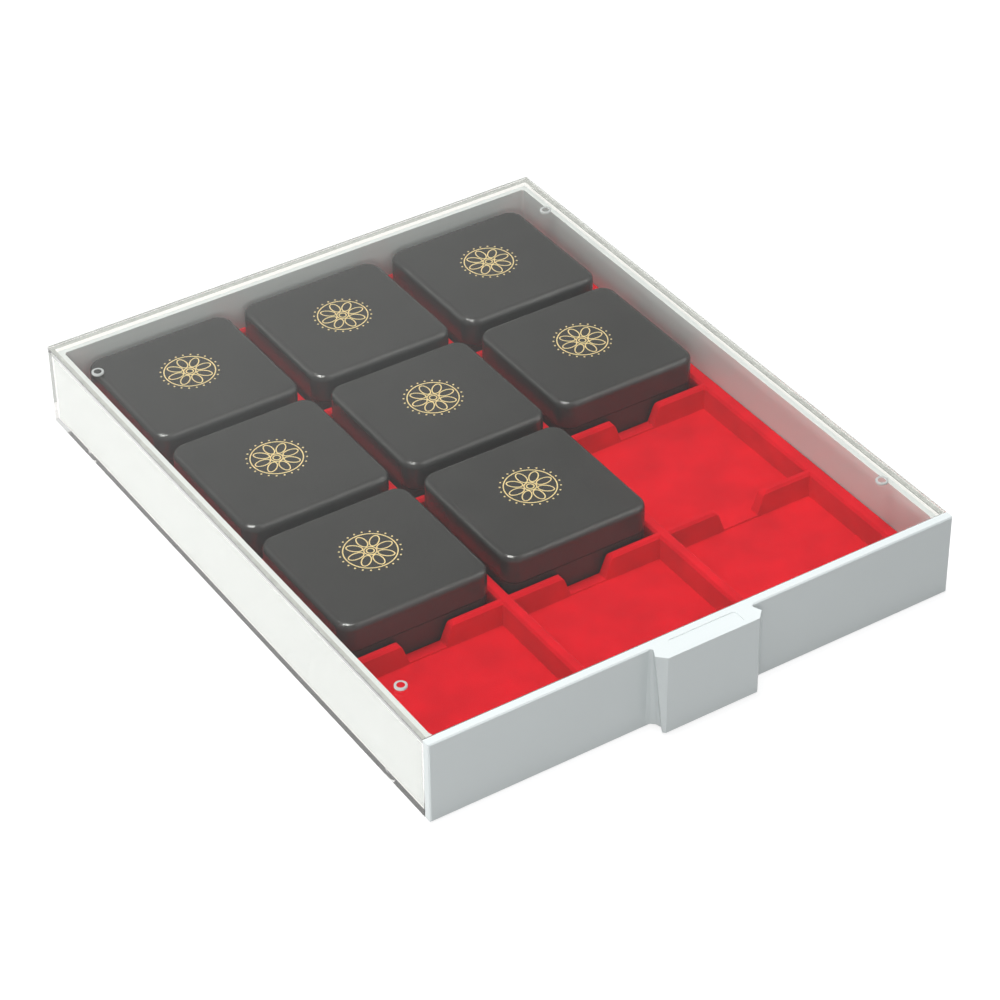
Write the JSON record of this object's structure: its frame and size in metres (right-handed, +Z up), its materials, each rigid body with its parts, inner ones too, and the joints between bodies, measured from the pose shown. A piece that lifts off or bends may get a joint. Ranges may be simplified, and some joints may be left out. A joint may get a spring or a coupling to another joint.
{
  "type": "collector box",
  "caption": "Flat stackable box: clear casing, grey drawer with a finger grip, red flocked insert with square pockets, and black hinged coin cases.",
  "frame": {"origin": "bottom centre of the whole box, finger grip included", "axes": "+X to the right, +Y to the back, +Z up; the drawer pulls out along -Y"},
  "size_m": [0.236, 0.304, 0.0378],
  "materials": {
    "clear_plastic": "clear, polished",
    "grey_plastic": "smooth, light grey",
    "red_flock": "short flock pile on a formed sheet",
    "black_leatherette": "satin black leatherette",
    "steel_pin": "plain wire",
    "dark_velvet": "dark velvet",
    "pale_satin": "pale satin"
  },
  "bodies": {
    "casing": {"clear_casing_shell": "clear_plastic", "clear_casing_cover": "clear_plastic"},
    "drawer": {"drawer_with_grip": "grey_plastic", "flocked_insert": "red_flock", "coin_case_r2c1_base": "black_leatherette", "coin_case_r2c1_hinge_pin": "steel_pin", "coin_case_r2c1_velvet_pad": "dark_velvet", "coin_case_r2c2_base": "black_leatherette", "coin_case_r2c2_hinge_pin": "steel_pin", "coin_case_r2c2_velvet_pad": "dark_velvet", "coin_case_r3c1_base": "black_leatherette", "coin_case_r3c1_hinge_pin": "steel_pin", "coin_case_r3c1_velvet_pad": "dark_velvet", "coin_case_r3c2_base": "black_leatherette", "coin_case_r3c2_hinge_pin": "steel_pin", "coin_case_r3c2_velvet_pad": "dark_velvet", "coin_case_r3c3_base": "black_leatherette", "coin_case_r3c3_hinge_pin": "steel_pin", "coin_case_r3c3_velvet_pad": "dark_velvet", "coin_case_r4c1_base": "black_leatherette", "coin_case_r4c1_hinge_pin": "steel_pin", "coin_case_r4c1_velvet_pad": "dark_velvet", "coin_case_r4c2_base": "black_leatherette", "coin_case_r4c2_hinge_pin": "steel_pin", "coin_case_r4c2_velvet_pad": "dark_velvet", "coin_case_r4c3_base": "black_leatherette", "coin_case_r4c3_hinge_pin": "steel_pin", "coin_case_r4c3_velvet_pad": "dark_velvet"},
    "lid_r2c1": {"coin_case_r2c1_lid": "black_leatherette", "coin_case_r2c1_lid_lining": "pale_satin"},
    "lid_r2c2": {"coin_case_r2c2_lid": "black_leatherette", "coin_case_r2c2_lid_lining": "pale_satin"},
    "lid_r3c1": {"coin_case_r3c1_lid": "black_leatherette", "coin_case_r3c1_lid_lining": "pale_satin"},
    "lid_r3c2": {"coin_case_r3c2_lid": "black_leatherette", "coin_case_r3c2_lid_lining": "pale_satin"},
    "lid_r3c3": {"coin_case_r3c3_lid": "black_leatherette", "coin_case_r3c3_lid_lining": "pale_satin"},
    "lid_r4c1": {"coin_case_r4c1_lid": "black_leatherette", "coin_case_r4c1_lid_lining": "pale_satin"},
    "lid_r4c2": {"coin_case_r4c2_lid": "black_leatherette", "coin_case_r4c2_lid_lining": "pale_satin"},
    "lid_r4c3": {"coin_case_r4c3_lid": "black_leatherette", "coin_case_r4c3_lid_lining": "pale_satin"}
  },
  "joints": [
    {"name": "drawer_slide", "type": "slide", "parent": "casing", "child": "drawer", "axis": [0, -1, 0], "range_m": [0, 0.28]},
    {"name": "lid_r2c1_hinge", "type": "hinge", "parent": "drawer", "child": "lid_r2c1", "pos_m": [-0.073, -0.0037, 0.0163], "axis": [-1, 0, 0], "range_deg": [0, 5.5]},
    {"name": "lid_r2c2_hinge", "type": "hinge", "parent": "drawer", "child": "lid_r2c2", "pos_m": [0, -0.0037, 0.0163], "axis": [-1, 0, 0], "range_deg": [0, 5.5]},
    {"name": "lid_r3c1_hinge", "type": "hinge", "parent": "drawer", "child": "lid_r3c1", "pos_m": [-0.073, 0.0678, 0.0163], "axis": [-1, 0, 0], "range_deg": [0, 5.5]},
    {"name": "lid_r3c2_hinge", "type": "hinge", "parent": "drawer", "child": "lid_r3c2", "pos_m": [0, 0.0678, 0.0163], "axis": [-1, 0, 0], "range_deg": [0, 5.5]},
    {"name": "lid_r3c3_hinge", "type": "hinge", "parent": "drawer", "child": "lid_r3c3", "pos_m": [0.073, 0.0678, 0.0163], "axis": [-1, 0, 0], "range_deg": [0, 5.5]},
    {"name": "lid_r4c1_hinge", "type": "hinge", "parent": "drawer", "child": "lid_r4c1", "pos_m": [-0.073, 0.1393, 0.0163], "axis": [-1, 0, 0], "range_deg": [0, 5.5]},
    {"name": "lid_r4c2_hinge", "type": "hinge", "parent": "drawer", "child": "lid_r4c2", "pos_m": [0, 0.1393, 0.0163], "axis": [-1, 0, 0], "range_deg": [0, 5.5]},
    {"name": "lid_r4c3_hinge", "type": "hinge", "parent": "drawer", "child": "lid_r4c3", "pos_m": [0.073, 0.1393, 0.0163], "axis": [-1, 0, 0], "range_deg": [0, 5.5]}
  ]
}
